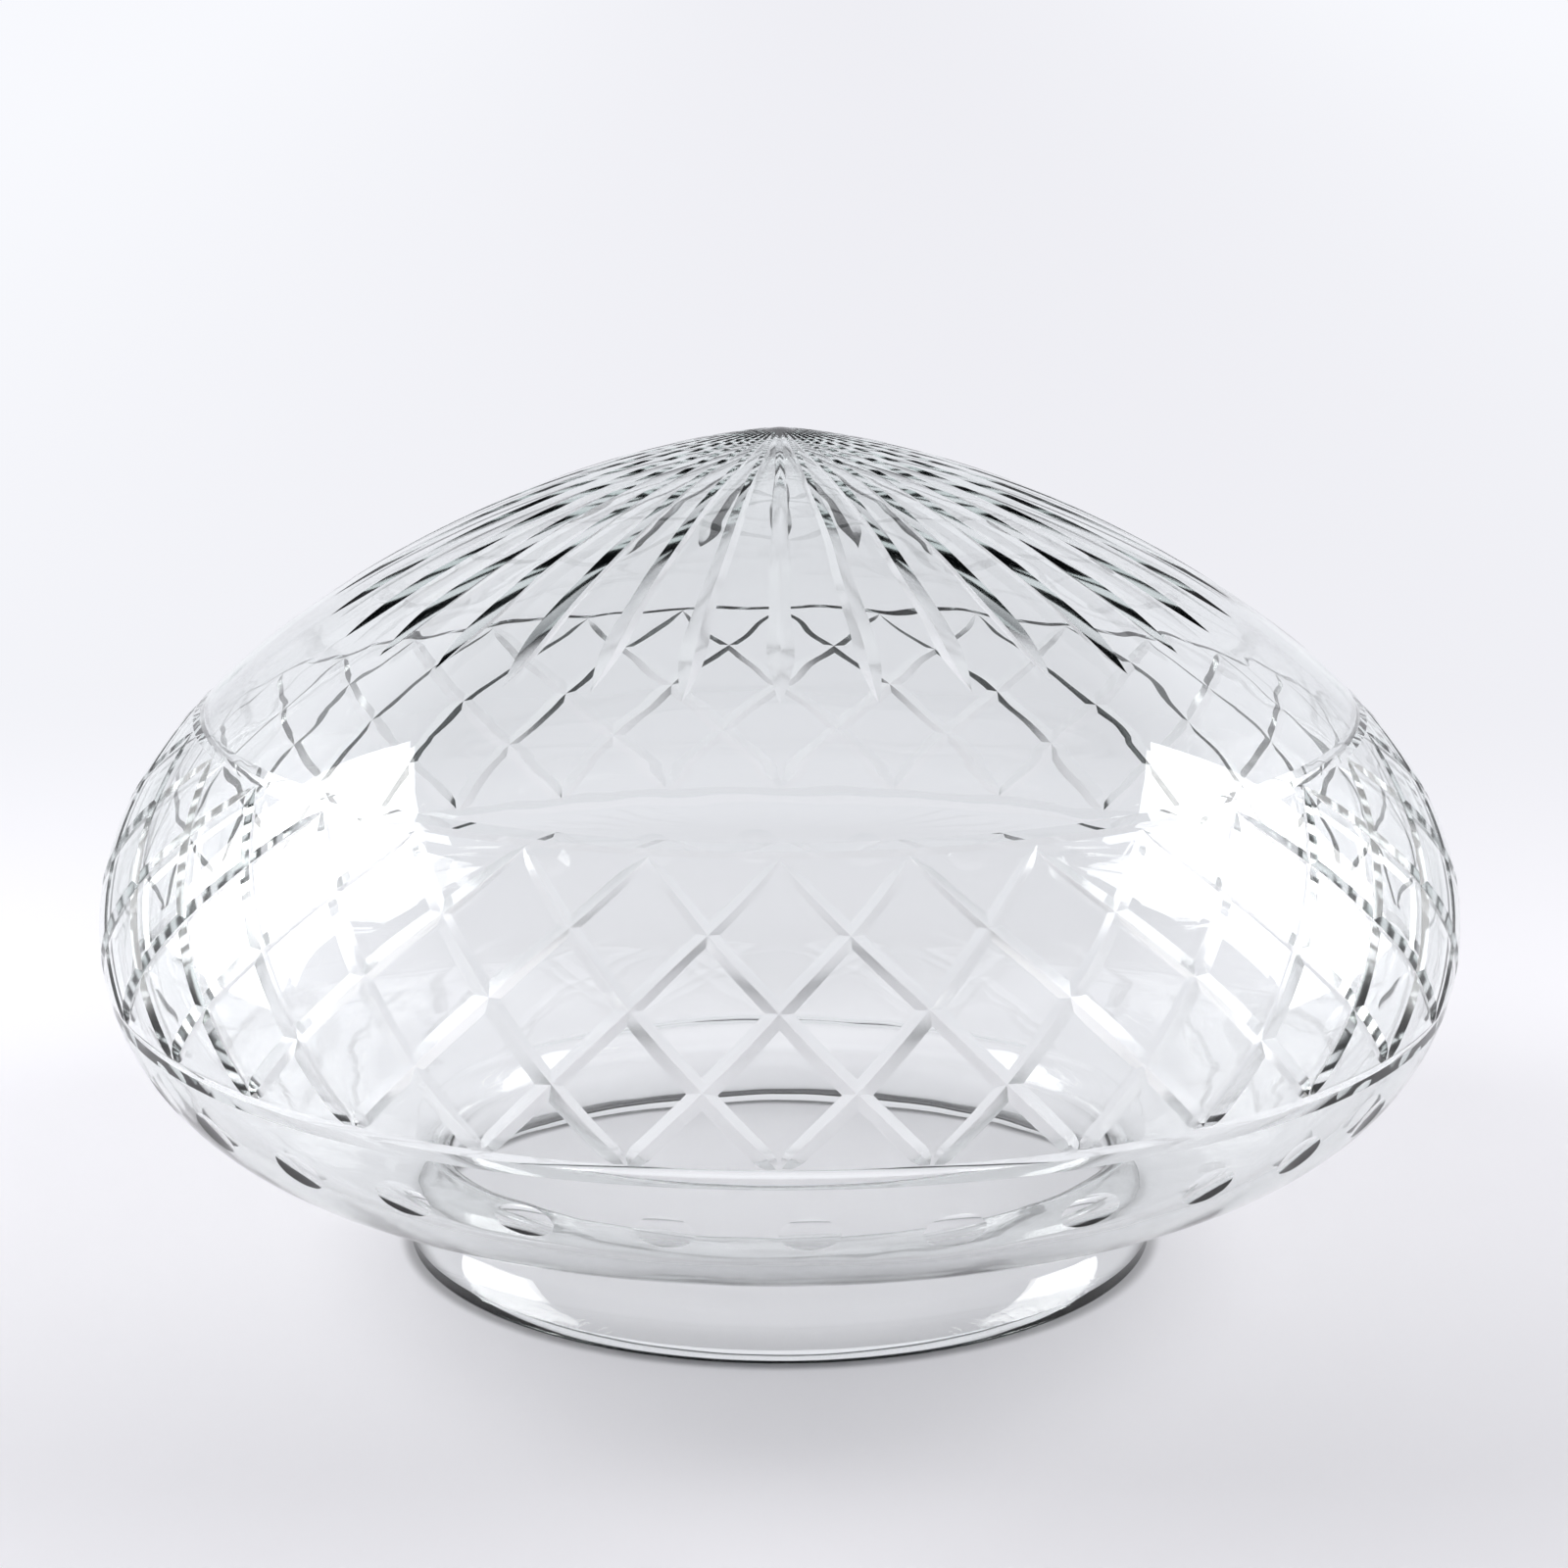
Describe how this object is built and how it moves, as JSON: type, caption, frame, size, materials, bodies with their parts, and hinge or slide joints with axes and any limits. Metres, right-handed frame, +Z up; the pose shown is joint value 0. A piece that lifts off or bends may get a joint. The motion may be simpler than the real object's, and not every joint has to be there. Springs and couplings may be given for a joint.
{
  "type": "cut glass lamp shade",
  "caption": "Clear mushroom-shaped glass lamp shade with a pointed dome, wheel-cut flutes, rings and diamonds, and a short neck with a flared lip.",
  "frame": {"origin": "centre of the lip's ground face, which is the lowest plane of the shade", "axes": "+Z up the axis from the mouth to the apex; -Y passes through a flute and a vertex of the diamond band"},
  "size_m": [0.2692, 0.2692, 0.1645],
  "materials": {
    "clear_glass": "clear soda-lime glass, fire polished, with wheel-cut grooves polished clear and a ground lip"
  },
  "bodies": {
    "root": {"glass_shade": "clear_glass"}
  },
  "joints": []
}
